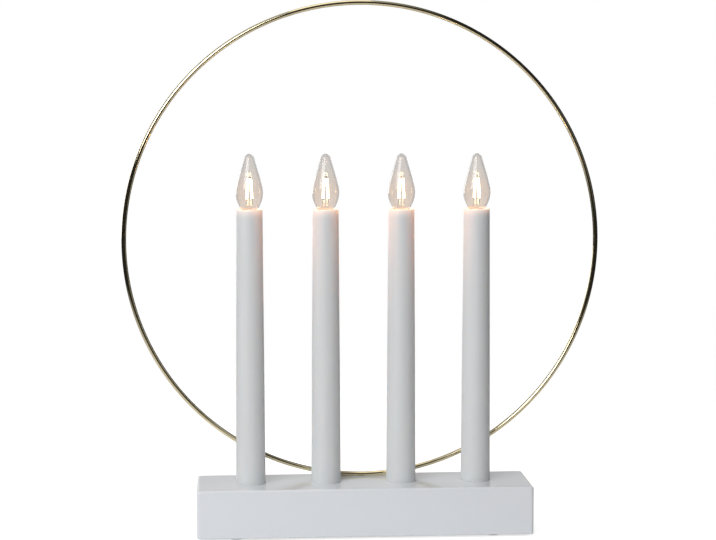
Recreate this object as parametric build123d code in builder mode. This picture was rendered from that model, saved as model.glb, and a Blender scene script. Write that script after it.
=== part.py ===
from build123d import *
import os

# Ring-shaped electric candle arch: four candle tubes with screw-in lamps on a block, before a wire ring.
# Millimetres. +Z is up, -Y is the front, the origin is on the table under the middle of the block.

# Candle row and plan of the block
CANDLE_COUNT = 4
CANDLE_PITCH = 47.0
END_MARGIN = 33.5
CANDLE_SETBACK = 25.0
CANDLE_TO_RING = 17.0
RING_SETBACK = 8.0

# Heights in the block, from the table upwards
PAD_THICKNESS = 1.5
COVER_THICKNESS = 3.0
CHANNEL_DEPTH = 10.0
SEAT_WEB = 5.0
TUBE_SEAT_DEPTH = 12.0

# Block, cover, screws and pads
BLOCK_EDGE_RADIUS = 1.8
BLOCK_FOOT_RADIUS = 0.6
COVER_RIM = 2.5
COVER_CORNER_RADIUS = 5.0
COVER_CLEARANCE = 0.15
CHANNEL_END_MARGIN = 10.0
CHANNEL_FRONT_MARGIN = 9.0
CHANNEL_BACK_MARGIN = 9.0
CHANNEL_CORNER_RADIUS = 4.0
LEAD_HOLE_DIAMETER = 11.0
SCREW_INSET = 6.5
SCREW_SHANK_DIAMETER = 3.0
SCREW_HEAD_DIAMETER = 6.0
SCREW_LENGTH = 13.0
SCREW_POINT = 3.0
SCREW_CLEARANCE = 0.1
COUNTERSINK_ANGLE = 90.0
PAD_DIAMETER = 12.0
PAD_END_INSET = 22.0
PAD_SIDE_INSET = 8.5

# Ring and its fixing
RING_DIAMETER = 300.0
RING_WIRE = 3.0
RING_SINK = 0.5
RING_CLEARANCE = 0.05
STUD_DIAMETER = 4.0
STUD_CLEARANCE = 0.2
STUD_CUP = 0.4
STUD_GRIP = 12.0
STUD_END = 1.5
WELD_GAP = 0.02
WASHER_DIAMETER = 9.0
WASHER_THICKNESS = 0.8
NUT_WIDTH = 7.0
NUT_HEIGHT = 3.2
NUT_CLEARANCE = 0.05
POCKET_MARGIN = 0.6

# Candle tube
TUBE_HEIGHT = 170.8
TUBE_BOTTOM_DIAMETER = 18.4
TUBE_TOP_DIAMETER = 16.1
TUBE_WALL = 1.2
TUBE_SEAT_CLEARANCE = 0.1
RIM_LEDGE = 0.5
RIM_RADIUS = 0.3

# Lamp holder, with depths below the tube's rim
HOLDER_SINK = 0.4
HOLDER_FLANGE = 1.2
HOLDER_CLEARANCE = 0.1
HOLDER_SKIRT = 7.0
HOLDER_FLOOR = 2.0
SHELL_SHEET = 0.3
SHELL_SINK = 1.0
SHELL_FIT = 0.05
SHELL_EYE_DIAMETER = 6.4
TAB_WIDTH = 2.0
TAB_OFFSET = 3.9
TAB_LENGTH = 3.0
CONTACT_HEAD_DIAMETER = 4.4
CONTACT_HEAD_HEIGHT = 1.4
CONTACT_SHANK_DIAMETER = 2.0
CONTACT_RIVET_DIAMETER = 3.2
CONTACT_RIVET_HEIGHT = 0.5
CONTACT_TAIL = 1.5
CONTACT_FIT = 0.05

# Lamp
GLASS_HEIGHT = 34.1
GLASS_WALL = 0.8
BELLY_CORNER_DIAMETER = 18.2
BELLY_CORNER_HEIGHT = 8.4
BELLY_RADIUS = 12.0
TIP_CORNER_DIAMETER = 4.9
TIP_ROUND_SHARE = 1.16
NECK_DIAMETER = 8.6
NECK_SINK = 2.0
NECK_LENGTH = 4.0
CAP_DIAMETER = 9.5
CAP_SHEET = 0.25
CAP_LENGTH = 8.8
CAP_EYE_DIAMETER = 6.8
TURN_CLEARANCE = 0.1
INSULATOR_INSIDE = 1.2
INSULATOR_OUTSIDE = 0.7
INSULATOR_END_DIAMETER = 4.6
EYELET_HEAD_DIAMETER = 3.8
EYELET_HEAD_HEIGHT = 0.5
EYELET_SHANK_DIAMETER = 2.2
STEM_FOOT_HEIGHT = 0.8
STEM_DIAMETER = 3.0
STEM_HEIGHT = 1.0
PINCH_WIDTH = 5.0
PINCH_DEPTH = 1.8
PINCH_HEIGHT = 2.6
PINCH_CORNER = 0.6
STEM_FIT = 0.05
FILAMENT_DIAMETER = 1.3
FILAMENT_LENGTH = 14.0
FILAMENT_FOOT_GAP = 3.2
FILAMENT_TOP_GAP = 1.8
FILAMENT_LEAD = 2.0
FILAMENT_LEAD_DIAMETER = 0.45
BRIDGE_THICKNESS = 0.4
BRIDGE_GAP = 0.1

# Wiring
WIRE_DIAMETER = 1.6
WIRE_BEND_RADIUS = 3.5
WIRE_LANE_STEP = 3.0
FRONT_LANE = 5.0
CROSSING_RUN = 25.0
SPLICE_DIAMETER = 4.4
SPLICE_LENGTH = 11.0
SPLICE_BORE_DEPTH = 7.0
SPLICE_LIFT = 0.1
SPLICE_GAP = 4.0
SPLICE_LANE = 6.0
SPLICE_FIT = 0.05

# Cord hole and bush
BUSH_BORE = 6.0
BUSH_WALL = 1.0
BUSH_FLANGE_DIAMETER = 11.0
BUSH_FLANGE_THICKNESS = 1.5
BUSH_LENGTH = 9.0
BUSH_CLEARANCE = 0.1

# Levels and places that follow
block_length = CANDLE_PITCH * (CANDLE_COUNT - 1) + 2 * END_MARGIN
block_depth = CANDLE_SETBACK + CANDLE_TO_RING + RING_SETBACK
block_height = COVER_THICKNESS + CHANNEL_DEPTH + SEAT_WEB + TUBE_SEAT_DEPTH
block_bottom = PAD_THICKNESS
cover_top = block_bottom + COVER_THICKNESS
block_top = block_bottom + block_height
rim = block_top + TUBE_HEIGHT
candle_y = CANDLE_SETBACK - block_depth / 2
ring_y = block_depth / 2 - RING_SETBACK
candle_xs = [CANDLE_PITCH * (n - (CANDLE_COUNT - 1) / 2) for n in range(CANDLE_COUNT)]
ring_z = block_top - RING_SINK + RING_DIAMETER / 2
ring_axis = Axis((0, ring_y, ring_z), (0, 1, 0))
opening_length = block_length - 2 * COVER_RIM
opening_depth = block_depth - 2 * COVER_RIM
screw_x = opening_length / 2 - SCREW_INSET
screw_y = opening_depth / 2 - SCREW_INSET
screw_spots = [(sx * screw_x, sy * screw_y) for sx in (-1, 1) for sy in (-1, 1)]
pad_x = opening_length / 2 - PAD_END_INSET
pad_y = opening_depth / 2 - PAD_SIDE_INSET
inlet_x = (candle_xs[-2] + candle_xs[-1]) / 2
inlet_z = cover_top + CHANNEL_DEPTH / 2
inlet_axis = Axis((inlet_x, 0, inlet_z), (0, 1, 0))

# Heights of the lamp and its holder, measured from the tube's rim
holder_top = -HOLDER_SINK
ledge = holder_top - HOLDER_FLANGE
cap_top = -NECK_SINK
cap_bottom = cap_top - CAP_LENGTH
eyelet_end = cap_bottom - INSULATOR_OUTSIDE - EYELET_HEAD_HEIGHT
holder_floor = eyelet_end - CONTACT_HEAD_HEIGHT
floor_under = holder_floor - HOLDER_FLOOR
holder_end = floor_under - HOLDER_SKIRT
tab_end = floor_under - TAB_LENGTH
tail_end = floor_under - CONTACT_RIVET_HEIGHT - CONTACT_TAIL
shell_inside = CAP_DIAMETER / 2 + TURN_CLEARANCE
shell_outside = shell_inside + SHELL_SHEET
holder_bore = shell_outside + SHELL_FIT
tube_bore_top = TUBE_TOP_DIAMETER / 2 - TUBE_WALL
pinch_top = STEM_HEIGHT + PINCH_HEIGHT
stick_foot = pinch_top + STEM_FIT + FILAMENT_LEAD

os.makedirs("parts", exist_ok=True)


def upright(x, y, z):
    """Plane through an upright axis: its first direction is the radius, its second the height above z."""
    return Plane(origin=(x, y, z), x_dir=(1, 0, 0), z_dir=(0, -1, 0))


def turned(x, y, z, *outline):
    """Turned piece: a closed half-outline of (radius, height) points, revolved about an upright axis."""
    with BuildPart() as piece:
        with BuildSketch(upright(x, y, z)):
            with BuildLine():
                Polyline(*outline, close=True)
            make_face()
        revolve(axis=Axis((x, y, z), (0, 0, 1)))
    return piece


def hoop(wire):
    """The ring's wire, of the diameter asked for."""
    with BuildPart() as piece:
        with BuildSketch(Plane(origin=(0, ring_y, ring_z), x_dir=(0, 1, 0), z_dir=(1, 0, 0))):
            with Locations((0, (RING_DIAMETER - RING_WIRE) / 2)):
                Circle(wire / 2)
        revolve(axis=ring_axis)
    return piece


def keep(piece, name):
    """Labels a finished piece and writes it."""
    piece.part.label = name
    export_step(piece.part, f"parts/{name}.step")


# Block: rebate and channel from below, candle seats, ring groove, stud hole with nut pocket, cord hole
groove = hoop(RING_WIRE + 2 * RING_CLEARANCE)
with BuildPart() as block:
    with BuildSketch(Plane.XY.offset(block_bottom)):
        Rectangle(block_length, block_depth)
    extrude(amount=block_height)
    foot_edges = block.edges().group_by(Axis.Z)[0]
    fillet(block.edges() - foot_edges, BLOCK_EDGE_RADIUS)
    fillet(block.faces().sort_by(Axis.Z)[0].edges(), BLOCK_FOOT_RADIUS)
    with BuildSketch(Plane.XY.offset(block_bottom)):
        RectangleRounded(opening_length, opening_depth, COVER_CORNER_RADIUS)
    extrude(amount=COVER_THICKNESS, mode=Mode.SUBTRACT)
    with BuildSketch(Plane.XY.offset(cover_top)):
        with Locations((0, candle_y + (CHANNEL_BACK_MARGIN - CHANNEL_FRONT_MARGIN) / 2)):
            RectangleRounded(
                candle_xs[-1] - candle_xs[0] + 2 * CHANNEL_END_MARGIN,
                CHANNEL_FRONT_MARGIN + CHANNEL_BACK_MARGIN,
                CHANNEL_CORNER_RADIUS,
            )
    extrude(amount=CHANNEL_DEPTH, mode=Mode.SUBTRACT)
    with Locations([(x, candle_y, block_top) for x in candle_xs]):
        CounterBoreHole(
            radius=LEAD_HOLE_DIAMETER / 2,
            counter_bore_radius=TUBE_BOTTOM_DIAMETER / 2 + TUBE_SEAT_CLEARANCE,
            counter_bore_depth=TUBE_SEAT_DEPTH,
            depth=TUBE_SEAT_DEPTH + SEAT_WEB,
        )
    with Locations((0, ring_y, block_top)):
        Hole(radius=STUD_DIAMETER / 2 + STUD_CLEARANCE, depth=STUD_GRIP)
    with BuildSketch(Plane.XY.offset(cover_top)):
        with Locations((0, ring_y)):
            Circle(WASHER_DIAMETER / 2 + POCKET_MARGIN)
    extrude(amount=block_top - STUD_GRIP - cover_top, mode=Mode.SUBTRACT)
    add(groove.part, mode=Mode.SUBTRACT)
    with Locations(Plane(origin=(inlet_x, block_depth / 2, inlet_z), z_dir=(0, 1, 0))):
        CounterBoreHole(
            radius=BUSH_BORE / 2 + BUSH_WALL + BUSH_CLEARANCE,
            counter_bore_radius=BUSH_FLANGE_DIAMETER / 2 + BUSH_CLEARANCE,
            counter_bore_depth=BUSH_FLANGE_THICKNESS,
            depth=block_depth / 2 - candle_y,
        )
    with Locations([Plane(origin=(x, y, cover_top), z_dir=(0, 0, -1)) for x, y in screw_spots]):
        Hole(radius=SCREW_SHANK_DIAMETER / 2 + SCREW_CLEARANCE, depth=SCREW_LENGTH)
keep(block, "base_block")

# Bottom cover with its countersunk holes
with BuildPart() as cover:
    with BuildSketch(Plane.XY.offset(block_bottom)):
        RectangleRounded(
            opening_length - 2 * COVER_CLEARANCE,
            opening_depth - 2 * COVER_CLEARANCE,
            COVER_CORNER_RADIUS - COVER_CLEARANCE,
        )
    extrude(amount=COVER_THICKNESS)
    with Locations([Plane(origin=(x, y, block_bottom), z_dir=(0, 0, -1)) for x, y in screw_spots]):
        CounterSinkHole(
            radius=SCREW_SHANK_DIAMETER / 2 + SCREW_CLEARANCE,
            counter_sink_radius=SCREW_HEAD_DIAMETER / 2 + SCREW_CLEARANCE,
            counter_sink_angle=COUNTERSINK_ANGLE,
        )
keep(cover, "bottom_cover")

# Four countersunk screws
head_height = (SCREW_HEAD_DIAMETER - SCREW_SHANK_DIAMETER) / 2
screw_outline = (
    (0, 0),
    (SCREW_HEAD_DIAMETER / 2, 0),
    (SCREW_SHANK_DIAMETER / 2, head_height),
    (SCREW_SHANK_DIAMETER / 2, SCREW_LENGTH - SCREW_POINT),
    (0, SCREW_LENGTH),
)
single_screws = [turned(x, y, block_bottom, *screw_outline) for x, y in screw_spots]
with BuildPart() as screws:
    for screw in single_screws:
        add(screw.part)
keep(screws, "cover_screws")

# Four felt pads under the cover
with BuildPart() as pads:
    with BuildSketch():
        with Locations([(sx * pad_x, sy * pad_y) for sx in (-1, 1) for sy in (-1, 1)]):
            Circle(PAD_DIAMETER / 2)
    extrude(amount=PAD_THICKNESS)
keep(pads, "felt_pads")

# Ring, with the stud that is welded under it, its washer and its nut
ring = hoop(RING_WIRE)
keep(ring, "ring")

washer_top = block_top - STUD_GRIP
nut_top = washer_top - WASHER_THICKNESS
stud_end = nut_top - NUT_HEIGHT - STUD_END
weld_cut = hoop(RING_WIRE + 2 * WELD_GAP)
with BuildPart() as stud:
    with BuildSketch(Plane.XY.offset(stud_end)):
        with Locations((0, ring_y)):
            Circle(STUD_DIAMETER / 2)
    extrude(amount=block_top - RING_SINK + STUD_CUP - stud_end)
    add(weld_cut.part, mode=Mode.SUBTRACT)
keep(stud, "ring_stud")

with BuildPart() as washer:
    with BuildSketch(Plane.XY.offset(nut_top)):
        with Locations((0, ring_y)):
            Circle(WASHER_DIAMETER / 2)
            Circle(STUD_DIAMETER / 2 + STUD_CLEARANCE, mode=Mode.SUBTRACT)
    extrude(amount=WASHER_THICKNESS)
keep(washer, "ring_washer")

with BuildPart() as nut:
    with BuildSketch(Plane.XY.offset(nut_top)):
        with Locations((0, ring_y)):
            RegularPolygon(NUT_WIDTH / 2, side_count=6, major_radius=False)
            Circle(STUD_DIAMETER / 2 + NUT_CLEARANCE, mode=Mode.SUBTRACT)
    extrude(amount=-NUT_HEIGHT)
keep(nut, "ring_nut")

# Bush in the cord hole, flush with the block's back
bush_outside = BUSH_BORE / 2 + BUSH_WALL
with BuildPart() as bush:
    with BuildSketch(Plane(origin=(inlet_x, block_depth / 2, inlet_z), x_dir=(0, 0, 1), z_dir=(-1, 0, 0))):
        with BuildLine():
            Polyline(
                (BUSH_BORE / 2, 0),
                (BUSH_FLANGE_DIAMETER / 2, 0),
                (BUSH_FLANGE_DIAMETER / 2, -BUSH_FLANGE_THICKNESS),
                (bush_outside, -BUSH_FLANGE_THICKNESS),
                (bush_outside, -BUSH_LENGTH),
                (BUSH_BORE / 2, -BUSH_LENGTH),
                close=True,
            )
        make_face()
    revolve(axis=inlet_axis)
keep(bush, "cord_bush")


def candle_tube(x):
    """Tapered tube, seated in the block, with a ledge for the lamp holder inside its rim."""
    blank = turned(
        x, candle_y, block_top,
        (TUBE_BOTTOM_DIAMETER / 2 - TUBE_WALL, -TUBE_SEAT_DEPTH),
        (TUBE_BOTTOM_DIAMETER / 2, -TUBE_SEAT_DEPTH),
        (TUBE_BOTTOM_DIAMETER / 2, 0),
        (TUBE_TOP_DIAMETER / 2, TUBE_HEIGHT),
        (tube_bore_top + RIM_LEDGE, TUBE_HEIGHT),
        (tube_bore_top + RIM_LEDGE, TUBE_HEIGHT + ledge),
        (tube_bore_top, TUBE_HEIGHT + ledge),
        (TUBE_BOTTOM_DIAMETER / 2 - TUBE_WALL, 0),
    )
    with BuildPart() as tube:
        add(blank.part)
        rim_edges = tube.edges().filter_by(GeomType.CIRCLE).group_by(Axis.Z)[-1]
        fillet(rim_edges.sort_by(SortBy.RADIUS)[-1], RIM_RADIUS)
    return tube


def lamp_holder(x):
    """Holder with its flange on the tube's ledge, a floor for the contacts and a skirt around the joints."""
    body = tube_bore_top - HOLDER_CLEARANCE
    blank = turned(
        x, candle_y, rim,
        (holder_bore, holder_top),
        (body + RIM_LEDGE, holder_top),
        (body + RIM_LEDGE, ledge),
        (body, ledge),
        (body, holder_end),
        (holder_bore, holder_end),
        (holder_bore, floor_under),
        (0, floor_under),
        (0, holder_floor),
        (holder_bore, holder_floor),
    )
    with BuildPart() as holder:
        add(blank.part)
        with Locations((x, candle_y, rim + holder_floor)):
            Hole(radius=CONTACT_SHANK_DIAMETER / 2 + CONTACT_FIT, depth=HOLDER_FLOOR)
        with BuildSketch(Plane.XY.offset(rim + holder_floor)):
            with Locations((x, candle_y + TAB_OFFSET)):
                Rectangle(TAB_WIDTH + 2 * SHELL_FIT, SHELL_SHEET + 2 * SHELL_FIT)
        extrude(amount=-HOLDER_FLOOR, mode=Mode.SUBTRACT)
    return holder


def socket_shell(x):
    """Screw shell, turned in at its foot, with a solder tab through the holder's floor."""
    blank = turned(
        x, candle_y, rim,
        (shell_inside, -HOLDER_SINK - SHELL_SINK),
        (shell_outside, -HOLDER_SINK - SHELL_SINK),
        (shell_outside, holder_floor),
        (SHELL_EYE_DIAMETER / 2, holder_floor),
        (SHELL_EYE_DIAMETER / 2, holder_floor + SHELL_SHEET),
        (shell_inside, holder_floor + SHELL_SHEET),
    )
    with BuildPart() as shell:
        add(blank.part)
        with BuildSketch(Plane.XY.offset(rim + holder_floor)):
            with Locations((x, candle_y + TAB_OFFSET)):
                Rectangle(TAB_WIDTH, SHELL_SHEET)
        extrude(amount=tab_end - holder_floor)
    return shell


def socket_contact(x):
    """Centre contact, riveted through the holder's floor."""
    shank = CONTACT_SHANK_DIAMETER / 2
    return turned(
        x, candle_y, rim,
        (0, eyelet_end),
        (EYELET_HEAD_DIAMETER / 2, eyelet_end),
        (CONTACT_HEAD_DIAMETER / 2, holder_floor),
        (shank, holder_floor),
        (shank, floor_under),
        (CONTACT_RIVET_DIAMETER / 2, floor_under),
        (CONTACT_RIVET_DIAMETER / 2, floor_under - CONTACT_RIVET_HEIGHT),
        (shank, floor_under - CONTACT_RIVET_HEIGHT),
        (shank, tail_end),
        (0, tail_end),
    )


def glass_curve(inset):
    """Half-outline of the glass from its neck to its tip, moved inwards by the inset."""
    neck = NECK_DIAMETER / 2 - inset
    belly = BELLY_CORNER_DIAMETER / 2 - inset
    tip = TIP_CORNER_DIAMETER / 2 - inset
    top = GLASS_HEIGHT - inset
    FilletPolyline(
        (neck, cap_top - NECK_LENGTH),
        (neck, cap_top),
        (belly, BELLY_CORNER_HEIGHT),
        (tip, top),
        (0, top),
        radius=(0, BELLY_RADIUS - inset, tip * TIP_ROUND_SHARE),
    )
    return neck, top


def bulb_glass(x):
    """Thin clear envelope, open at the neck."""
    with BuildPart() as glass:
        with BuildSketch(upright(x, candle_y, rim)):
            with BuildLine():
                outer_neck, outer_top = glass_curve(0)
                inner_neck, inner_top = glass_curve(GLASS_WALL)
                Line((0, inner_top), (0, outer_top))
                Line((inner_neck, cap_top - NECK_LENGTH), (outer_neck, cap_top - NECK_LENGTH))
            make_face()
        revolve(axis=Axis((x, candle_y, rim), (0, 0, 1)))
    return glass


def bulb_cap(x):
    """Screw cap of sheet metal, turned in around the insulator."""
    inside = CAP_DIAMETER / 2 - CAP_SHEET
    return turned(
        x, candle_y, rim,
        (inside, cap_top),
        (CAP_DIAMETER / 2, cap_top),
        (CAP_DIAMETER / 2, cap_bottom),
        (CAP_EYE_DIAMETER / 2, cap_bottom),
        (CAP_EYE_DIAMETER / 2, cap_bottom + CAP_SHEET),
        (inside, cap_bottom + CAP_SHEET),
    )


def cap_insulator(x):
    """Insulating washer, held by its collar inside the cap."""
    bore = EYELET_SHANK_DIAMETER / 2 + CONTACT_FIT
    waist = CAP_EYE_DIAMETER / 2 - TURN_CLEARANCE
    collar = CAP_DIAMETER / 2 - CAP_SHEET - TURN_CLEARANCE
    collar_foot = cap_bottom + CAP_SHEET
    return turned(
        x, candle_y, rim,
        (bore, cap_bottom - INSULATOR_OUTSIDE),
        (INSULATOR_END_DIAMETER / 2, cap_bottom - INSULATOR_OUTSIDE),
        (waist, cap_bottom),
        (waist, collar_foot),
        (collar, collar_foot),
        (collar, collar_foot + INSULATOR_INSIDE),
        (bore, collar_foot + INSULATOR_INSIDE),
    )


def cap_contact(x):
    """Centre contact of the lamp: a rivet through the insulator."""
    return turned(
        x, candle_y, rim,
        (0, eyelet_end),
        (EYELET_HEAD_DIAMETER / 2, eyelet_end),
        (EYELET_HEAD_DIAMETER / 2, cap_bottom - INSULATOR_OUTSIDE),
        (EYELET_SHANK_DIAMETER / 2, cap_bottom - INSULATOR_OUTSIDE),
        (EYELET_SHANK_DIAMETER / 2, cap_bottom + CAP_SHEET + INSULATOR_INSIDE),
        (0, cap_bottom + CAP_SHEET + INSULATOR_INSIDE),
    )


def filament_stem(x):
    """Glass stem: a flared foot sealed into the neck, a post and a flat pinch that holds the leads."""
    foot = cap_top - NECK_LENGTH
    blank = turned(
        x, candle_y, rim,
        (0, foot),
        (NECK_DIAMETER / 2 - GLASS_WALL - STEM_FIT, foot),
        (NECK_DIAMETER / 2 - GLASS_WALL - STEM_FIT, foot + STEM_FOOT_HEIGHT),
        (STEM_DIAMETER / 2, cap_top),
        (STEM_DIAMETER / 2, STEM_HEIGHT),
        (0, STEM_HEIGHT),
    )
    with BuildPart() as stem:
        add(blank.part)
        with BuildSketch(Plane.XY.offset(rim + STEM_HEIGHT)):
            with Locations((x, candle_y)):
                RectangleRounded(PINCH_WIDTH, PINCH_DEPTH, PINCH_CORNER)
        extrude(amount=PINCH_HEIGHT)
    return stem


def stick_plane(x, side):
    """Plane at the foot of one filament stick, facing along the stick, which leans in to the other."""
    lean = side * (FILAMENT_TOP_GAP - FILAMENT_FOOT_GAP) / 2
    foot = (x + side * FILAMENT_FOOT_GAP / 2, candle_y, rim + stick_foot)
    return Plane(origin=foot, x_dir=(0, 1, 0), z_dir=(lean, 0, FILAMENT_LENGTH))


def led_filaments(x):
    """Two filament sticks that lean together."""
    with BuildPart() as sticks:
        for side in (-1, 1):
            with BuildSketch(stick_plane(x, side)):
                Circle(FILAMENT_DIAMETER / 2)
            extrude(amount=FILAMENT_LENGTH)
    return sticks


def filament_leads(x):
    """Two leads below the sticks and the bridge above them."""
    with BuildPart() as leads:
        for side in (-1, 1):
            with BuildSketch(stick_plane(x, side)):
                Circle(FILAMENT_LEAD_DIAMETER / 2)
            extrude(amount=-FILAMENT_LEAD)
        with BuildSketch(Plane.XY.offset(rim + stick_foot + FILAMENT_LENGTH + BRIDGE_GAP)):
            with Locations((x, candle_y)):
                SlotOverall(FILAMENT_TOP_GAP + FILAMENT_DIAMETER, FILAMENT_DIAMETER)
        extrude(amount=BRIDGE_THICKNESS)
    return leads


candle_pieces = {
    "candle_tube": candle_tube,
    "lamp_holder": lamp_holder,
    "socket_shell": socket_shell,
    "socket_contact": socket_contact,
    "bulb_glass": bulb_glass,
    "bulb_cap": bulb_cap,
    "cap_insulator": cap_insulator,
    "cap_contact": cap_contact,
    "filament_stem": filament_stem,
    "led_filaments": led_filaments,
    "filament_leads": filament_leads,
}
for number, candle_x in enumerate(candle_xs, start=1):
    for name, make in candle_pieces.items():
        keep(make(candle_x), f"{name}_{number}")

# Places of the wiring: a low lane at the splices, a high lane from lamp to lamp
tab_y = candle_y + TAB_OFFSET
splice_y = candle_y + SPLICE_LANE
low_lane = cover_top + SPLICE_DIAMETER / 2 + SPLICE_LIFT
high_lane = low_lane + WIRE_LANE_STEP
splice_tails = [inlet_x - SPLICE_GAP / 2 - SPLICE_LENGTH, inlet_x + SPLICE_GAP / 2 + SPLICE_LENGTH]


def wire(*route):
    """Insulated wire along straight runs with rounded bends."""
    with BuildPart() as strand:
        with BuildLine() as path:
            FilletPolyline(*route, radius=WIRE_BEND_RADIUS)
        with BuildSketch(Plane(origin=path.line @ 0, z_dir=path.line % 0)):
            Circle(WIRE_DIAMETER / 2)
        sweep()
    return strand


# From the shell of each lamp holder to the centre contact of the next
for number in range(1, CANDLE_COUNT):
    here, there = candle_xs[number - 1], candle_xs[number]
    series_wire = wire(
        (here, tab_y, rim + tab_end),
        (here, tab_y, high_lane),
        (there, candle_y, high_lane),
        (there, candle_y, rim + tail_end),
    )
    keep(series_wire, f"series_wire_{number}_{number + 1}")

# From the splices to the first contact and to the last shell
first_x, last_x = candle_xs[0], candle_xs[-1]
first_lead = wire(
    (first_x, candle_y, rim + tail_end),
    (first_x, candle_y, low_lane),
    (candle_xs[1] - CANDLE_PITCH / 2, candle_y - FRONT_LANE, low_lane),
    (candle_xs[1], candle_y - FRONT_LANE, low_lane),
    (candle_xs[1] + CROSSING_RUN, splice_y, low_lane),
    (splice_tails[0] + SPLICE_BORE_DEPTH, splice_y, low_lane),
)
last_lead = wire(
    (last_x, tab_y, rim + tab_end),
    (last_x, tab_y, low_lane),
    ((last_x + splice_tails[1]) / 2, splice_y, low_lane),
    (splice_tails[1] - SPLICE_BORE_DEPTH, splice_y, low_lane),
)
with BuildPart() as lead_wires:
    add(first_lead.part)
    add(last_lead.part)
keep(lead_wires, "lead_wires")

# Two crimp caps, open towards their wires
with BuildPart() as splices:
    for tail, way in zip(splice_tails, (1, -1)):
        with BuildSketch(Plane(origin=(tail, splice_y, low_lane), z_dir=(way, 0, 0))):
            Circle(SPLICE_DIAMETER / 2)
        extrude(amount=SPLICE_LENGTH)
        with BuildSketch(Plane(origin=(tail, splice_y, low_lane), z_dir=(way, 0, 0))):
            Circle(WIRE_DIAMETER / 2 + SPLICE_FIT)
        extrude(amount=SPLICE_BORE_DEPTH, mode=Mode.SUBTRACT)
keep(splices, "splice_caps")
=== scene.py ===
import math

import bmesh
import bpy
from mathutils import Euler, Matrix, Vector, noise

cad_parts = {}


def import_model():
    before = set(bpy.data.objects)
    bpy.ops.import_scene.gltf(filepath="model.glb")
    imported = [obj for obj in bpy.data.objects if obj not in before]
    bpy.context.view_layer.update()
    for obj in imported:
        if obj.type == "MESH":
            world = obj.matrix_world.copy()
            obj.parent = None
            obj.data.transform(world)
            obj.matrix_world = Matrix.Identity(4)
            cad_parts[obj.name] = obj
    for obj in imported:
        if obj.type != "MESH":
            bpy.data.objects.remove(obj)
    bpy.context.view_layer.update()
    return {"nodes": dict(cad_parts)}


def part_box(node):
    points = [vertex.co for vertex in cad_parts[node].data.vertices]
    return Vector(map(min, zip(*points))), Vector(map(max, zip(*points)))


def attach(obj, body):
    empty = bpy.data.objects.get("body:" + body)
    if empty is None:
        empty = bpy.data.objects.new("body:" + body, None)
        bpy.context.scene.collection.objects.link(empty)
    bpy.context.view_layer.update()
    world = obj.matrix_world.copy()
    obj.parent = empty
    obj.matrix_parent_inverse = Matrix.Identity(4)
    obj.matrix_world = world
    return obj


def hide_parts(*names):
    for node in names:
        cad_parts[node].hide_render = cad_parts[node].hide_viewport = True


# Visual model of a ring-shaped electric candle arch. Metres, +Z up, the front is -Y.
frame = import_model()

CANDLES = (1, 2, 3, 4)
X_AXIS = Vector((1, 0, 0))
Y_AXIS = Vector((0, 1, 0))
Z_AXIS = Vector((0, 0, 1))

# Camera of the photograph, fitted to the block's corners, the candles' feet and the ring
IMAGE_WIDTH = 716
FOCAL_PIXELS = 1932.0
SENSOR_WIDTH = 36.0
CAMERA_PLACE = (-0.0885, -1.1897, 0.2806)
CAMERA_TURN_DEG = 4.09
CAMERA_TILT_DEG = 5.57

# How finely meshes are divided
RING_STEPS = 360
WIRE_STEPS = 28
LATHE_STEPS = 96
SCREW_STEPS = 48
STICK_STEPS = 20
LEAD_STEPS = 12
CAP_ROWS_PER_TURN = 14
ARC_STEP_DEG = 5.0
SHARP_DEG = 32.0
CAP_SHARP_DEG = 60.0
SAME_PLACE = 1e-7

# Candle tubes
TUBE_TOP_RADIUS = 0.00805
TUBE_WALL = 0.0012
TUBE_LEDGE = 0.0005
TUBE_LEDGE_DEPTH = 0.0016
TUBE_RIM_ROUND = 0.0003
SEAT_DEPTH = 0.012

# Bulb's envelope: the belly and the flank are corners at (radius, height above the tube's rim)
GLASS_WALL = 0.0008
GLASS_NECK_RADIUS = 0.0043
GLASS_NECK_LENGTH = 0.004
RIM_TO_NECK = 0.002
GLASS_BELLY_CORNER = (0.0094, 0.0084)
GLASS_BELLY_ROUND = 0.016
GLASS_FLANK_CORNER = (0.0065, 0.020)
GLASS_FLANK_ROUND = 0.05
GLASS_TIP_RADIUS = 0.00275
GLASS_TIP_DROP = 0.00135
GLASS_TIP_ROUND = 0.002
GLASS_TIP_EXTRA = 0.0002
GLASS_CROWN_RADIUS = 0.00055
GLASS_CROWN_ROUND = 0.0016

# Bulb's screw cap
THREAD_PITCH = 0.001814
THREAD_DEPTH = 0.0005
THREAD_FADE = 0.0009
CAP_SHEET = 0.00025
CAP_EYE_BORDER = 0.00135

# Filament sticks, the ferrules on their ends and the lead wires; pin spread and bridge shoulder are shares
STICK_RADIUS = 0.00065
STICK_END = 0.0009
STICK_LEAN = 0.0007
STICK_BEVEL = 0.35 * STICK_RADIUS
STICK_TIP_RADIUS = 0.7 * STICK_RADIUS
STICK_RADII = (STICK_TIP_RADIUS, STICK_RADIUS, STICK_RADIUS, STICK_TIP_RADIUS)
FERRULE_RADIUS = 0.62 * STICK_RADIUS
FERRULE_LENGTH = 0.7 * STICK_END
LEAD_RADIUS = 0.0002
LEAD_REACH = 0.5 * STICK_END
PIN_SPREAD = 1.04
BRIDGE_SHOULDER = 0.7

# Felt pads: the rounds and the firm layer at each face are shares of the thickness
PAD_RADIUS = 0.006
PAD_LOW_ROUND = 0.3
PAD_TOP_ROUND = 0.2
PAD_FIRM = 0.1
FUZZ_PRESS = 0.02
FUZZ_SCALE = 900.0

# Cover screws and their cross recess
SCREW_HEAD = 0.003
SCREW_FACE = 0.8 * SCREW_HEAD
SCREW_SHANK = 0.0015
SCREW_POINT = 0.003
RECESS_ARM = 0.0017
RECESS_HALF = 0.00035
RECESS_DEPTH = 0.0012
RECESS_TAPER = 0.55

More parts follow.
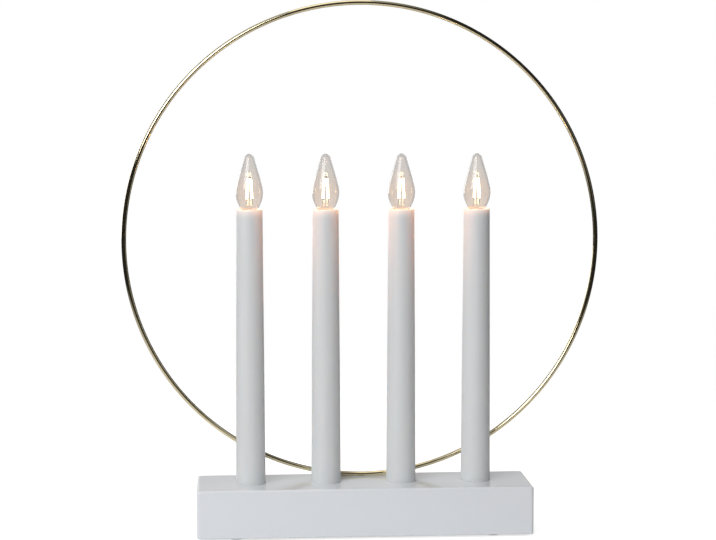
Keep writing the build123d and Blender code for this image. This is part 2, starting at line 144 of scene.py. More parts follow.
# Colours, linear
WHITE = (1.0, 1.0, 1.0)
WHITE_LACQUER = (0.795, 0.831, 0.878)
WHITE_PLASTIC = (0.782, 0.775, 0.773)
HOLDER_WHITE = (0.78, 0.775, 0.76)
WIRE_WHITE = (0.72, 0.72, 0.70)
NYLON_CREAM = (0.68, 0.66, 0.58)
RUBBER_GREY = (0.62, 0.62, 0.61)
INSULATOR_BLACK = (0.012, 0.012, 0.014)
RING_GOLD = (0.83, 0.73, 0.48)
CONTACT_GOLD = (0.74, 0.55, 0.27)
CAP_GOLD = (0.72, 0.58, 0.34)
ZINC_GREY = (0.55, 0.56, 0.58)
NICKEL_GREY = (0.4, 0.39, 0.37)
BOARD_DARK = (0.15, 0.095, 0.05)
BOARD_LIGHT = (0.33, 0.22, 0.125)
FELT_DARK = (0.45, 0.45, 0.44)
FELT_LIGHT = (0.78, 0.78, 0.76)
# Bulb glass below the tint change: its tint warmed by a painted glow of the filament's light
GLASS_TINT_WITH_PAINTED_GLOW = (0.86, 0.795, 0.743)
CLEAR_GLASS = (0.815, 0.79, 0.77)
STEM_FOOT_GLASS = (0.99, 0.95, 0.88)
STEM_TOP_GLASS = (0.97, 0.93, 0.86)
PHOSPHOR_DARK = (0.85, 0.6, 0.12)
PHOSPHOR_LIGHT = (1.0, 0.78, 0.3)
FLOOR_WHITE = (0.80, 0.80, 0.80)

# Ranges of a texture or another value that are mapped to a finish or a level
MID_TONES = (0.35, 0.65)
WIDE_TONES = (0.2, 0.8)
WHOLE = (0.0, 1.0)

# Bump heights
LACQUER_PEEL = 0.0000007
TUBE_STREAK = 0.00001
TUBE_GRAIN = 0.000006
BRASS_SCRATCH = 0.000003
METAL_GRAIN = 0.000004
PLASTIC_GRAIN = 0.000012
RUBBER_GRAIN = 0.00003
BOARD_FIBRE = 0.00008
FELT_FIBRE = 0.0003
GLASS_DRAW_LINE = 0.000015

# Glass, whose tint changes between two heights; the bulb's lower tint is warmed by a painted glow of the
# filament
GLASS_TINT_HEIGHTS = (0.216, 0.228)
GLASS_HAZE = 0.06
GLASS_IOR = 1.45

# How far red, green and blue light go into the tubes' plastic
TUBE_SCATTER = (0.006, 0.0042, 0.003)

# Light that the bulbs give, and a painted glow, as emission, that stands for their light passing into the
# plastic round them
FILAMENT_LIGHT = (1.0, 0.8, 0.5)
FILAMENT_POWER = 14.0
PAINTED_TUBE_GLOW = (1.0, 0.62, 0.42)
PAINTED_TUBE_GLOW_POWER = 0.42
PAINTED_TUBE_GLOW_DEPTH = 0.008
PAINTED_GLOW_FALL = 3.0
# Painted glow at the holders' tops, in place of the bulbs' light on them
PAINTED_HOLDER_GLOW = (1.0, 0.85, 0.62)
PAINTED_HOLDER_GLOW_POWER = 0.35
PAINTED_HOLDER_GLOW_DEPTH = 0.0015
GLOW_LIGHT = (1.0, 0.34, 0.14)
GLOW_POWER = 0.055
GLOW_RADIUS = 0.006

# Floor: the lift is what it shines by itself where it is seen, and it fades out between two distances
FLOOR_LIFT = 0.75
FLOOR_DROP = 0.0002
FLOOR_MIRROR_SHARE = 0.12
FLOOR_FADE = (0.25, 0.7)

# Room: each edge gives the parts of a unit direction along one axis between which a level changes
AMBIENT_LEVEL = 0.355
AMBIENT_ABOVE = 0.29
AMBIENT_RIGHT_SHARE = 0.62
MIRROR_LEVEL = 0.66
ROOM_DARK = 0.018
ROOM_GREY = 0.65
MIRROR_EDGE = (0.85, 0.97)
GLASS_EDGE = (0.80, 0.97)
CEILING_LEVEL = 0.55
CEILING_EDGE = (0.45, 0.85)
CEILING_SIDE = (0.0, 0.45)
LAMP_AIM = Vector((0.0, 0.0, 0.17))
TOP_LIGHT = (1.0, 0.93, 0.74)


# Mesh tools

def mesh_object(name, bm, sharp_deg=SHARP_DEG):
    """Turns a bmesh into a smooth-shaded object with sharp edges where the surface breaks."""
    bmesh.ops.recalc_face_normals(bm, faces=bm.faces)
    mesh = bpy.data.meshes.new(name)
    bm.to_mesh(mesh)
    bm.free()
    mesh.polygons.foreach_set("use_smooth", [True] * len(mesh.polygons))
    mesh.set_sharp_from_angle(angle=math.radians(sharp_deg))
    obj = bpy.data.objects.new(name, mesh)
    bpy.context.scene.collection.objects.link(obj)
    return obj


def rounded(points, radii):
    """Open outline through the points, with an arc of the given radius at each inner corner."""
    line = [Vector(points[0])]
    for before, corner, after, radius in zip(points, points[1:], points[2:], radii):
        corner = Vector(corner)
        if radius == 0:
            line.append(corner)
            continue
        back = (Vector(before) - corner).normalized()
        on = (Vector(after) - corner).normalized()
        half = back.angle(on) / 2
        centre = corner + (back + on).normalized() * (radius / math.sin(half))
        start = corner + back * (radius / math.tan(half)) - centre
        turn = math.pi - 2 * half
        if start.x * on.y - start.y * on.x < 0:
            turn = -turn
        steps = max(2, math.ceil(abs(math.degrees(turn)) / ARC_STEP_DEG))
        for step in range(steps + 1):
            line.append(centre + Matrix.Rotation(turn * step / steps, 2) @ start)
    line.append(Vector(points[-1]))
    return line


def turns(steps):
    """Even angles of one full turn."""
    return [2 * math.pi * step / steps for step in range(steps)]


def loop(bm, centre, side, other, radii):
    """Closed row of new points round a centre, one for each radius, turned from one axis to the other."""
    return [
        bm.verts.new(centre + radius * (side * math.cos(angle) + other * math.sin(angle)))
        for radius, angle in zip(radii, turns(len(radii)))
    ]


def strip(bm, low, high):
    """Faces between two closed rows of points, or between a row and a single point."""
    steps = max(len(low), len(high))
    for i in range(steps):
        j = (i + 1) % steps
        corners = [low[i % len(low)], low[j % len(low)], high[j % len(high)], high[i % len(high)]]
        corners = list(dict.fromkeys(corners))
        if len(corners) > 2:
            bm.faces.new(corners)


def lathe(bm, outline, foot, steps=LATHE_STEPS, closed=True):
    """Revolves an outline of (radius, height) points about an upright axis through the foot."""
    rows = []
    for radius, height in outline:
        place = foot + height * Z_AXIS
        if radius < SAME_PLACE:
            rows.append([bm.verts.new(place)])
        else:
            rows.append(loop(bm, place, X_AXIS, Y_AXIS, [radius] * steps))
    for low, high in zip(rows, rows[1:]):
        strip(bm, low, high)
    if closed:
        strip(bm, rows[-1], rows[0])
    return rows


def swept(bm, path, radii, steps):
    """Round bar along a list of points, with a radius at each and closed ends."""
    rows = []
    side = None
    for i, point in enumerate(path):
        ahead = (path[min(i + 1, len(path) - 1)] - path[max(i - 1, 0)]).normalized()
        if side is None:
            side = ahead.orthogonal()
        side = (side - ahead * side.dot(ahead)).normalized()
        rows.append(loop(bm, point, side, ahead.cross(side), [radii[i]] * steps))
    for low, high in zip(rows, rows[1:]):
        strip(bm, low, high)
    bm.faces.new(rows[0][::-1])
    bm.faces.new(rows[-1])


def size_of(node):
    """Width, depth and height of a node's box."""
    low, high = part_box(node)
    return high - low


def middle_of(node):
    """Centre of a node's box."""
    low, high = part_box(node)
    return (low + high) / 2


def foot_of(node):
    """Middle of the underside of a node's box."""
    low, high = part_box(node)
    return Vector(((low.x + high.x) / 2, (low.y + high.y) / 2, low.z))


def feet_of(node, radius):
    """Middles of the undersides of a node's four round pieces, which reach into its box's corners."""
    low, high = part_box(node)
    return [
        Vector((x, y, low.z))
        for x in (low.x + radius, high.x - radius)
        for y in (low.y + radius, high.y - radius)
    ]


# Shader tools

def shader(name, **values):
    """New material: its Principled shader takes the named constant values."""
    mat = bpy.data.materials.new(name)
    mat.use_nodes = True
    bsdf = mat.node_tree.nodes["Principled BSDF"]
    for label, value in values.items():
        socket = bsdf.inputs[label.replace("_", " ")]
        socket.default_value = (*value, 1.0) if socket.type == "RGBA" else value
    return mat, mat.node_tree, bsdf


def feed(tree, socket, value):
    """Gives a socket a number or the output of another node."""
    if isinstance(value, float):
        socket.default_value = value
    else:
        tree.links.new(value, socket)


def combined(tree, operation, first, second):
    """One value worked out from two, each a number or a node's output."""
    node = tree.nodes.new("ShaderNodeMath")
    node.operation = operation
    feed(tree, node.inputs[0], first)
    feed(tree, node.inputs[1], second)
    return node.outputs["Value"]


def blend(tree, share, first, second):
    """Mixes two values, each a number or a node's output."""
    mix = tree.nodes.new("ShaderNodeMix")
    tree.links.new(share, mix.inputs["Factor"])
    feed(tree, mix.inputs["A"], first)
    feed(tree, mix.inputs["B"], second)
    return mix.outputs["Result"]


def coordinates(tree, space):
    """X, Y and Z of a point of an object, or of a direction in the world."""
    where = tree.nodes.new("ShaderNodeTexCoord")
    parts = tree.nodes.new("ShaderNodeSeparateXYZ")
    tree.links.new(where.outputs[space], parts.inputs["Vector"])
    return parts.outputs


def texture(tree, scale, stretch=(1, 1, 1), detail=3.0):
    """Noise in the object's own metres; stretch below 1 draws it out along that axis."""
    where = tree.nodes.new("ShaderNodeTexCoord")
    mapping = tree.nodes.new("ShaderNodeMapping")
    mapping.inputs["Scale"].default_value = stretch
    grain = tree.nodes.new("ShaderNodeTexNoise")
    grain.inputs["Scale"].default_value = scale
    grain.inputs["Detail"].default_value = detail
    tree.links.new(where.outputs["Object"], mapping.inputs["Vector"])
    tree.links.new(mapping.outputs["Vector"], grain.inputs["Vector"])
    return grain.outputs["Fac"]


def span(tree, value, reach, low, high):
    """Maps a value's reach, from its start to its end, to levels from low to high, held beyond it."""
    mapped = tree.nodes.new("ShaderNodeMapRange")
    for label, number in zip(("From Min", "From Max", "To Min", "To Max"), (*reach, low, high)):
        mapped.inputs[label].default_value = number
    tree.links.new(value, mapped.inputs["Value"])
    return mapped.outputs["Result"]


def paint(tree, bsdf, value, colours, reach=MID_TONES):
    """Base colour between two colours, by a texture or a coordinate."""
    mix = tree.nodes.new("ShaderNodeMix")
    mix.data_type = "RGBA"
    for label, colour in zip(("A", "B"), colours):
        mix.inputs[label].default_value = (*colour, 1.0)
    tree.links.new(span(tree, value, reach, 0.0, 1.0), mix.inputs["Factor"])
    tree.links.new(mix.outputs["Result"], bsdf.inputs["Base Color"])


def polish(tree, bsdf, value, smooth, rough, reach=MID_TONES):
    """Roughness between two levels, by a texture."""
    tree.links.new(span(tree, value, reach, smooth, rough), bsdf.inputs["Roughness"])


def relief(tree, bsdf, *layers):
    """Bump from layers of (texture, distance), one on the other."""
    normal = None
    for height, distance in layers:
        bump = tree.nodes.new("ShaderNodeBump")
        bump.inputs["Strength"].default_value = 1.0
        bump.inputs["Distance"].default_value = distance
        tree.links.new(height, bump.inputs["Height"])
        if normal is not None:
            tree.links.new(normal, bump.inputs["Normal"])
        normal = bump.outputs["Normal"]
    tree.links.new(normal, bsdf.inputs["Normal"])


def tones(colour, dark, light):
    """A darker and a lighter tone of a colour, as shares of it."""
    return [tuple(min(1.0, part * share) for part in colour) for share in (dark, light)]


def give_way(tree, bsdf, share):
    """Lets a surface give way to nothing by a share."""
    mix = tree.nodes.new("ShaderNodeMixShader")
    clear = tree.nodes.new("ShaderNodeBsdfTransparent")
    tree.links.new(share, mix.inputs["Fac"])
    tree.links.new(bsdf.outputs["BSDF"], mix.inputs[1])
    tree.links.new(clear.outputs["BSDF"], mix.inputs[2])
    tree.links.new(mix.outputs["Shader"], tree.nodes["Material Output"].inputs["Surface"])


def painted_glow(tree, bsdf, power, depth):
    """Painted glow, as emission, in place of the bulbs' light in the plastic: strongest at the tubes'
    rims, gone at the depth below them.
    """
    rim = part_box("candle_tube_1")[1].z
    near = span(tree, coordinates(tree, "Object")["Z"], (rim - depth, rim), 0.0, 1.0)
    fall = combined(tree, "POWER", near, PAINTED_GLOW_FALL)
    tree.links.new(span(tree, fall, WHOLE, 0.0, power), bsdf.inputs["Emission Strength"])


# Materials

def lacquer_material():
    """Sprayed lacquer under a glossy coat, with the faintest orange peel."""
    mat, tree, bsdf = shader("white_lacquer", Coat_Weight=0.7, Coat_Roughness=0.05, IOR=1.48)
    cloud = texture(tree, scale=900.0, detail=4.0)
    paint(tree, bsdf, cloud, tones(WHITE_LACQUER, dark=0.996, light=1.0), WIDE_TONES)
    polish(tree, bsdf, cloud, smooth=0.27, rough=0.29, reach=WIDE_TONES)
    relief(tree, bsdf, (texture(tree, scale=700.0, detail=2.0), LACQUER_PEEL))
    return mat


def tube_material():
    """Satin white plastic with a painted glow along its upper edge, in place of the bulb's light shining
    through it.
    """
    mat, tree, bsdf = shader(
        "candle_plastic",
        IOR=1.46,
        Subsurface_Weight=0.35,
        Subsurface_Radius=TUBE_SCATTER,
        Subsurface_Scale=1.0,
        Emission_Color=PAINTED_TUBE_GLOW,
    )
    # Painted glow: emission near the rim in place of the bulb's light in the plastic
    painted_glow(tree, bsdf, PAINTED_TUBE_GLOW_POWER, PAINTED_TUBE_GLOW_DEPTH)
    streak = texture(tree, scale=300.0, stretch=(1, 1, 0.03))
    paint(tree, bsdf, streak, tones(WHITE_PLASTIC, dark=0.985, light=1.01))
    polish(tree, bsdf, texture(tree, scale=180.0, stretch=(1, 1, 0.2)), smooth=0.36, rough=0.46)
    relief(tree, bsdf, (streak, TUBE_STREAK), (texture(tree, scale=1500.0, detail=2.0), TUBE_GRAIN))
    return mat


def brass_material(name, colour, rough):
    """Brass with a cloudy tone, an uneven polish and fine scratches."""
    mat, tree, bsdf = shader(name, Metallic=1.0)
    paint(tree, bsdf, texture(tree, scale=55.0, detail=4.0), tones(colour, dark=0.93, light=1.05))
    polish(tree, bsdf, texture(tree, scale=420.0, detail=5.0), smooth=rough * 0.75, rough=rough * 1.35)
    relief(tree, bsdf, (texture(tree, scale=1800.0, stretch=(1, 0.2, 1)), BRASS_SCRATCH))
    return mat


def metal_material(name, colour, rough):
    """Plated metal with a mottled tone and a fine grain."""
    mat, tree, bsdf = shader(name, Metallic=1.0)
    paint(tree, bsdf, texture(tree, scale=260.0, detail=4.0), tones(colour, dark=0.86, light=1.08))
    polish(tree, bsdf, texture(tree, scale=600.0), smooth=rough * 0.8, rough=rough * 1.3)
    relief(tree, bsdf, (texture(tree, scale=2600.0), METAL_GRAIN))
    return mat


def plastic_material(name, colour, rough, grain=PLASTIC_GRAIN, **values):
    """Moulded plastic or rubber with an eroded grain."""
    mat, tree, bsdf = shader(name, IOR=1.47, **values)
    paint(tree, bsdf, texture(tree, scale=130.0), tones(colour, dark=0.95, light=1.04))
    polish(tree, bsdf, texture(tree, scale=300.0), smooth=rough * 0.85, rough=rough * 1.2)
    relief(tree, bsdf, (texture(tree, scale=1700.0, detail=2.0), grain))
    return mat


def holder_material():
    """White plastic under the bulb, with a painted glow at the top in place of the bulb's light on it."""
    mat = plastic_material("holder_plastic", HOLDER_WHITE, rough=0.42, Emission_Color=PAINTED_HOLDER_GLOW)
    # Painted glow: emission at the holder's top in place of the bulb's light
    painted_glow(mat.node_tree, mat.node_tree.nodes["Principled BSDF"], PAINTED_HOLDER_GLOW_POWER, PAINTED_HOLDER_GLOW_DEPTH)
    return mat


def board_material():
    """Bare hardboard, its fibres drawn out along the block."""
    mat, tree, bsdf = shader("hardboard", IOR=1.45)
    fibre = texture(tree, scale=420.0, stretch=(0.35, 1, 1), detail=6.0)
    paint(tree, bsdf, fibre, (BOARD_DARK, BOARD_LIGHT))
    polish(tree, bsdf, fibre, smooth=0.55, rough=0.8)
    relief(tree, bsdf, (fibre, BOARD_FIBRE))
    return mat


def felt_material():
    """Pressed felt."""
    mat, tree, bsdf = shader("felt", Roughness=1.0, Sheen_Weight=0.5, Sheen_Roughness=0.6)
    fibre = texture(tree, scale=1300.0, detail=7.0)
    paint(tree, bsdf, fibre, (FELT_DARK, FELT_LIGHT))
    relief(tree, bsdf, (fibre, FELT_FIBRE))
    return mat


def glass_material(name, low_tint, high_tint):
    """Glass that casts no shadow, tinted by height, with the faint draw lines of a blown bulb; in the bulb
    the lower tint is warmed by a painted glow of the filament.
    """
    mat, tree, bsdf = shader(name, Transmission_Weight=1.0, Roughness=GLASS_HAZE, IOR=GLASS_IOR)
    paint(tree, bsdf, coordinates(tree, "Object")["Z"], (low_tint, high_tint), GLASS_TINT_HEIGHTS)
    relief(tree, bsdf, (texture(tree, scale=260.0, stretch=(1, 1, 0.04)), GLASS_DRAW_LINE))
    path = tree.nodes.new("ShaderNodeLightPath")
    give_way(tree, bsdf, path.outputs["Is Shadow Ray"])
    return mat


def glow_material():
    """Lit phosphor coat."""
    mat, tree, bsdf = shader(
        "filament_glow",
        Roughness=0.5,
        Emission_Color=FILAMENT_LIGHT,
        Emission_Strength=FILAMENT_POWER,
    )
    paint(tree, bsdf, texture(tree, scale=900.0), (PHOSPHOR_DARK, PHOSPHOR_LIGHT))
    return mat


LACQUER = lacquer_material()
TUBE = tube_material()
RING = brass_material("ring_brass", RING_GOLD, rough=0.075)
CONTACT = brass_material("contact_brass", CONTACT_GOLD, rough=0.3)
CAP = brass_material("cap_brass", CAP_GOLD, rough=0.24)
STEEL = metal_material("zinc_steel", ZINC_GREY, rough=0.32)
NICKEL = metal_material("lead_nickel", NICKEL_GREY, rough=0.5)
HOLDER = holder_material()
INSULATOR = plastic_material("cap_black", INSULATOR_BLACK, rough=0.18)
WIRE = plastic_material("wire_cover", WIRE_WHITE, rough=0.5)
SPLICE = plastic_material("splice_nylon", NYLON_CREAM, rough=0.45)
BUSH = plastic_material("bush_rubber", RUBBER_GREY, rough=0.62, grain=RUBBER_GRAIN)
BOARD = board_material()
FELT = felt_material()
# The lower tint of the bulb's glass is warmed by a painted glow of the filament
GLASS = glass_material("bulb_glass", GLASS_TINT_WITH_PAINTED_GLOW, CLEAR_GLASS)
STEM = glass_material("stem_glass", STEM_FOOT_GLASS, STEM_TOP_GLASS)
GLOW = glow_material()


# CAD nodes whose own shape shows

def dress(node, mat):
    """Gives a CAD node's object its material."""
    slots = frame["nodes"][node].data.materials
    slots.clear()
    slots.append(mat)


dress("base_block", LACQUER)
dress("bottom_cover", BOARD)
dress("cord_bush", BUSH)
for node in ("ring_stud", "ring_washer", "ring_nut"):
    dress(node, STEEL)
dress("splice_caps", SPLICE)
dress("lead_wires", WIRE)
for n in CANDLES[:-1]:
    dress(f"series_wire_{n}_{n + 1}", WIRE)
for n in CANDLES:
    dress(f"lamp_holder_{n}", HOLDER)
    dress(f"socket_shell_{n}", CONTACT)
    dress(f"socket_contact_{n}", CONTACT)
    dress(f"cap_contact_{n}", CONTACT)
    dress(f"cap_insulator_{n}", INSULATOR)
    dress(f"filament_stem_{n}", STEM)


# Pieces that stand for CAD nodes

def stand_in(obj, mat, body, node):
    """Puts a new piece in the place of a CAD node."""
    obj.data.materials.append(mat)
    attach(obj, body)
    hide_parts(node)


def ring_piece():
    """Closed hoop of round wire."""
    centre = middle_of("ring")
    size = size_of("ring")
    wire = size.y / 2
    mean = size.x / 2 - wire
    bm = bmesh.new()
    rows = []
    for angle in turns(RING_STEPS):
        out = Vector((math.cos(angle), 0, math.sin(angle)))
        rows.append(loop(bm, centre + out * mean, out, Y_AXIS, [wire] * WIRE_STEPS))
    for here, there in zip(rows, rows[1:] + rows[:1]):
        strip(bm, here, there)
    stand_in(mesh_object("ring_hoop", bm), RING, "stand", "ring")


def pad_piece():
    """Four felt pads with fibrous, slightly pressed edges."""
    low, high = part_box("felt_pads")
    thick = high.z - low.z
    firm = thick * PAD_FIRM
    outline = rounded(
        [(0, 0), (PAD_RADIUS, 0), (PAD_RADIUS, thick), (0, thick)],
        [thick * PAD_LOW_ROUND, thick * PAD_TOP_ROUND],
    )
    bm = bmesh.new()
    for foot in feet_of("felt_pads", PAD_RADIUS):
        rows = lathe(bm, outline, foot, closed=False)
        for vert in sum(rows, []):
            if low.z + firm < vert.co.z < high.z - firm:
                out = Vector((vert.co.x - foot.x, vert.co.y - foot.y, 0))
                vert.co -= out * FUZZ_PRESS * (1 + noise.noise(vert.co * FUZZ_SCALE))
    stand_in(mesh_object("pads", bm), FELT, "stand", "felt_pads")


def cross_outline():
    """Level cross of four equal arms, as points in order round it."""
    arm = [(RECESS_HALF, RECESS_HALF), (RECESS_ARM, RECESS_HALF), (RECESS_ARM, -RECESS_HALF)]
    points = []
    for quarter in range(4):
        points += [Vector((x, y, 0)) for x, y in arm]
        arm = [(y, -x) for x, y in arm]
    return points


def edges_round(bm, row):
    """Edges of a closed row of points."""
    return [bm.edges.get(pair) for pair in zip(row, row[1:] + row[:1])]


def screw_piece():
    """Four countersunk screws with a cross recess, heads down."""
    length = size_of("cover_screws").z
    outline = [
        (SCREW_FACE, 0),
        (SCREW_HEAD, 0),
        (SCREW_SHANK, SCREW_HEAD - SCREW_SHANK),
        (SCREW_SHANK, length - SCREW_POINT),
        (0, length),
    ]
    cross = cross_outline()
    bm = bmesh.new()
    for foot in feet_of("cover_screws", SCREW_HEAD):
        face = lathe(bm, outline, foot, SCREW_STEPS, closed=False)[0]
        mouth = [bm.verts.new(foot + point) for point in cross]
        bottom = [bm.verts.new(foot + point * RECESS_TAPER + RECESS_DEPTH * Z_AXIS) for point in cross]
        strip(bm, mouth, bottom)
        bm.faces.new(bottom)
        bmesh.ops.triangle_fill(bm, use_beauty=True, edges=edges_round(bm, mouth) + edges_round(bm, face))
    stand_in(mesh_object("screws", bm), STEEL, "stand", "cover_screws")


def tube_piece(n):
    """Tapered candle tube with a rounded rim and the holder's ledge."""
    size = size_of(f"candle_tube_{n}")
    radius = size.x / 2
    height = size.z
    bore = TUBE_TOP_RADIUS - TUBE_WALL
    outline = rounded(
        [
            (radius - TUBE_WALL, 0),
            (radius, 0),
            (radius, SEAT_DEPTH),
            (TUBE_TOP_RADIUS, height),
            (bore + TUBE_LEDGE, height),
            (bore + TUBE_LEDGE, height - TUBE_LEDGE_DEPTH),
            (bore, height - TUBE_LEDGE_DEPTH),
            (radius - TUBE_WALL, SEAT_DEPTH),
        ],
        [0, 0, TUBE_RIM_ROUND, 0, 0, 0],
    )
    bm = bmesh.new()
    lathe(bm, outline, foot_of(f"candle_tube_{n}"))
    stand_in(mesh_object(f"candle_{n}", bm), TUBE, "stand", f"candle_tube_{n}")


def glass_outline(top, inset):
    """Half outline of the envelope from its foot up to its top, moved inwards by the inset."""
    neck = GLASS_NECK_RADIUS - inset
    rim = GLASS_NECK_LENGTH + RIM_TO_NECK
    belly, belly_height = GLASS_BELLY_CORNER
    flank, flank_height = GLASS_FLANK_CORNER
    share = 1 - inset / GLASS_TIP_RADIUS
    return rounded(
        [
            (neck, 0),
            (neck, GLASS_NECK_LENGTH),
            (belly - inset, rim + belly_height),
            (flank - inset, rim + flank_height),
            (GLASS_TIP_RADIUS * share, top - GLASS_TIP_DROP * share),
            (GLASS_CROWN_RADIUS * share, top),
            (0, top),
        ],
        [
            0,
            GLASS_BELLY_ROUND - inset,
            GLASS_FLANK_ROUND - inset,
            GLASS_TIP_ROUND * share,
            GLASS_CROWN_ROUND * share,
        ],
    )


def glass_piece(n):
    """Blown envelope, thicker where its tip was drawn off."""
    height = size_of(f"bulb_glass_{n}").z
    outer = glass_outline(height, 0.0)
    inner = glass_outline(height - GLASS_WALL - GLASS_TIP_EXTRA, GLASS_WALL)
    bm = bmesh.new()
    lathe(bm, outer + inner[::-1], foot_of(f"bulb_glass_{n}"))
    stand_in(mesh_object(f"envelope_{n}", bm), GLASS, f"bulb_{n}", f"bulb_glass_{n}")


def thread_radii(crest, height, z):
    """Radii of the rolled thread round one level of the cap; the thread fades out at both ends."""
    fade = min(1.0, z / THREAD_FADE, (height - z) / THREAD_FADE)
    waves = [math.cos(2 * math.pi * z / THREAD_PITCH - angle) for angle in turns(LATHE_STEPS)]
    return [crest - THREAD_DEPTH * fade * (1 + wave) / 2 for wave in waves]


def cap_piece(n):
    """Screw cap of thin sheet, open above, with a round eye in its bottom."""
    foot = foot_of(f"bulb_cap_{n}")
    size = size_of(f"bulb_cap_{n}")
    crest = size.x / 2
    height = size.z
    levels = round(CAP_ROWS_PER_TURN * height / THREAD_PITCH)
    bm = bmesh.new()

    def level(z, radii):
        return loop(bm, foot + z * Z_AXIS, X_AXIS, Y_AXIS, radii)

    outside = []
    inside = []
    for step in range(levels + 1):
        z = height * step / levels
        radii = thread_radii(crest, height, z)
        outside.append(level(z, radii))
        inside.append(level(max(z, CAP_SHEET), [radius - CAP_SHEET for radius in radii]))
    eye = [level(z, [crest - CAP_EYE_BORDER] * LATHE_STEPS) for z in (0.0, CAP_SHEET)]
    rows = outside[::-1] + eye + inside
    for here, there in zip(rows, rows[1:] + rows[:1]):
        strip(bm, here, there)
    bmesh.ops.remove_doubles(bm, verts=bm.verts, dist=SAME_PLACE)
    cap = mesh_object(f"screw_cap_{n}", bm, CAP_SHARP_DEG)
    stand_in(cap, CAP, f"bulb_{n}", f"bulb_cap_{n}")


def filament_pieces(n):
    """Two coated sticks with metal ends, their leads and the bridge between their tops."""
    low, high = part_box(f"led_filaments_{n}")
    lead_low, lead_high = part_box(f"filament_leads_{n}")
    centre = middle_of(f"led_filaments_{n}")
    spread = (high.x - low.x) / 2 - STICK_RADIUS
    sticks = bmesh.new()
    leads = bmesh.new()

    def wire(*path):
        swept(leads, path, [LEAD_RADIUS] * len(path), LEAD_STEPS)

    tops = []
    for side in (-1, 1):
        start = Vector((centre.x + side * spread, centre.y, low.z + STICK_END))
        end = Vector((centre.x + side * (spread - STICK_LEAN), centre.y, high.z - STICK_END))
        pin = Vector((centre.x + side * spread * PIN_SPREAD, centre.y, lead_low.z))
        way = (end - start).normalized()
        bevel = way * STICK_BEVEL
        swept(sticks, [start, start + bevel, end - bevel, end], STICK_RADII, STICK_STEPS)
        ferrule = way * FERRULE_LENGTH
        for foot in (start - ferrule, end):
            swept(leads, [foot, foot + ferrule], [FERRULE_RADIUS] * 2, STICK_STEPS)
        wire(pin, (pin + start) / 2, start - way * LEAD_REACH)
        tops.append(end + way * LEAD_REACH)
    left, right = tops
    rise = (lead_high.z - LEAD_RADIUS - left.z) * Z_AXIS
    shoulder = rise * BRIDGE_SHOULDER
    wire(left, left + shoulder, (left + right) / 2 + rise, right + shoulder, right)
    lit = mesh_object(f"filaments_{n}", sticks)
    stand_in(lit, GLOW, f"bulb_{n}", f"led_filaments_{n}")
    wires = mesh_object(f"leads_{n}", leads)
    stand_in(wires, NICKEL, f"bulb_{n}", f"filament_leads_{n}")


ring_piece()
pad_piece()
screw_piece()
for n in CANDLES:
    tube_piece(n)
    glass_piece(n)
    cap_piece(n)
    filament_pieces(n)


# Floor, light and camera

def floor():
    """Pale floor that keeps the object's shadow and fades into the white backdrop."""
    bm = bmesh.new()
    lathe(bm, [(0, 0), (FLOOR_FADE[1], 0)], -FLOOR_DROP * Z_AXIS, closed=False)
    disc = mesh_object("floor", bm)
    mat, tree, bsdf = shader("floor", Roughness=0.9, Specular_IOR_Level=0.1, Emission_Color=WHITE)
    paint(tree, bsdf, texture(tree, scale=3.0), tones(FLOOR_WHITE, dark=1.0, light=1.02))
    path = tree.nodes.new("ShaderNodeLightPath")
    shine = 0.0
    for ray, share in (("Glossy", FLOOR_MIRROR_SHARE), ("Transmission", 1.0), ("Camera", 1.0)):
        shine = blend(tree, path.outputs[f"Is {ray} Ray"], shine, share * FLOOR_LIFT)
    tree.links.new(shine, bsdf.inputs["Emission Strength"])
    where = tree.nodes.new("ShaderNodeTexCoord")
    far = tree.nodes.new("ShaderNodeVectorMath")
    far.operation = "LENGTH"
    tree.links.new(where.outputs["Object"], far.inputs[0])
    give_way(tree, bsdf, span(tree, far.outputs["Value"], FLOOR_FADE, 0.0, 1.0))
    disc.data.materials.append(mat)


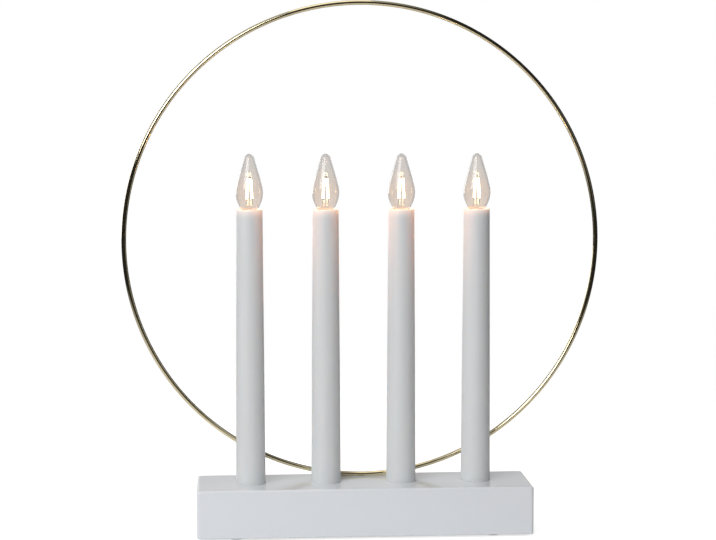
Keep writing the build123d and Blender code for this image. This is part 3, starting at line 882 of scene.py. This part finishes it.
def world():
    """White backdrop, also in mirrors and through glass, and a dim room with a pale ceiling."""
    sky = bpy.data.worlds.new("studio")
    bpy.context.scene.world = sky
    sky.use_nodes = True
    tree = sky.node_tree
    back = tree.nodes["Background"]
    back.inputs["Color"].default_value = (*WHITE, 1.0)
    way = coordinates(tree, "Generated")
    path = tree.nodes.new("ShaderNodeLightPath")
    ambient = combined(
        tree,
        "MULTIPLY",
        span(tree, way["Z"], WHOLE, AMBIENT_LEVEL, AMBIENT_ABOVE),
        span(tree, way["X"], WHOLE, 1.0, AMBIENT_RIGHT_SHARE),
    )
    ceiling = combined(
        tree,
        "MULTIPLY",
        span(tree, way["Z"], CEILING_EDGE, 0.0, CEILING_LEVEL),
        span(tree, way["X"], CEILING_SIDE, 1.0, 0.0),
    )
    backdrop = span(tree, way["Y"], MIRROR_EDGE, ROOM_DARK, MIRROR_LEVEL)
    mirrored = combined(tree, "MAXIMUM", backdrop, ceiling)
    through = span(tree, way["Y"], GLASS_EDGE, ROOM_GREY, 1.0)
    strength = ambient
    for ray, level in (("Glossy", mirrored), ("Transmission", through), ("Camera", 1.0)):
        strength = blend(tree, path.outputs[f"Is {ray} Ray"], strength, level)
    tree.links.new(strength, back.inputs["Strength"])


def soft_box(name, place, wide, high, power, colour=WHITE):
    """Soft box aimed at the object's middle."""
    data = bpy.data.lights.new(name, "AREA")
    data.shape = "RECTANGLE"
    data.size = wide
    data.size_y = high
    data.energy = power
    data.color = colour
    obj = bpy.data.objects.new(name, data)
    obj.location = place
    obj.rotation_euler = (LAMP_AIM - obj.location).to_track_quat("-Z", "Y").to_euler()
    obj.visible_transmission = False
    bpy.context.scene.collection.objects.link(obj)


def glow(n):
    """Warm light of a lit bulb on its neighbours."""
    data = bpy.data.lights.new(f"glow_{n}", "POINT")
    data.energy = GLOW_POWER
    data.color = GLOW_LIGHT
    data.shadow_soft_size = GLOW_RADIUS
    obj = bpy.data.objects.new(f"glow_{n}", data)
    obj.location = middle_of(f"led_filaments_{n}")
    obj.visible_camera = False
    obj.visible_glossy = False
    obj.visible_transmission = False
    bpy.context.scene.collection.objects.link(obj)
    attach(obj, f"bulb_{n}")


def camera():
    """Camera at the photograph's viewing angle."""
    data = bpy.data.cameras.new("camera")
    data.sensor_width = SENSOR_WIDTH
    data.lens = FOCAL_PIXELS * SENSOR_WIDTH / IMAGE_WIDTH
    obj = bpy.data.objects.new("camera", data)
    obj.location = CAMERA_PLACE
    obj.rotation_euler = Euler((math.radians(90 - CAMERA_TILT_DEG), 0, math.radians(-CAMERA_TURN_DEG)))
    bpy.context.scene.collection.objects.link(obj)
    bpy.context.scene.camera = obj


floor()
world()
soft_box("key", place=(-0.80, -1.10, 0.87), wide=1.1, high=0.65, power=14.1)
soft_box("fill", place=(1.2, -1.1, 0.5), wide=0.6, high=0.6, power=0.2)
soft_box("back", place=(-0.75, 1.15, 0.34), wide=0.8, high=0.5, power=3.0)
soft_box("top", place=(-0.1, 0.0, 1.5), wide=0.9, high=0.5, power=1.7, colour=TOP_LIGHT)
for n in CANDLES:
    glow(n)
camera()
bpy.context.scene.view_settings.view_transform = "Standard"
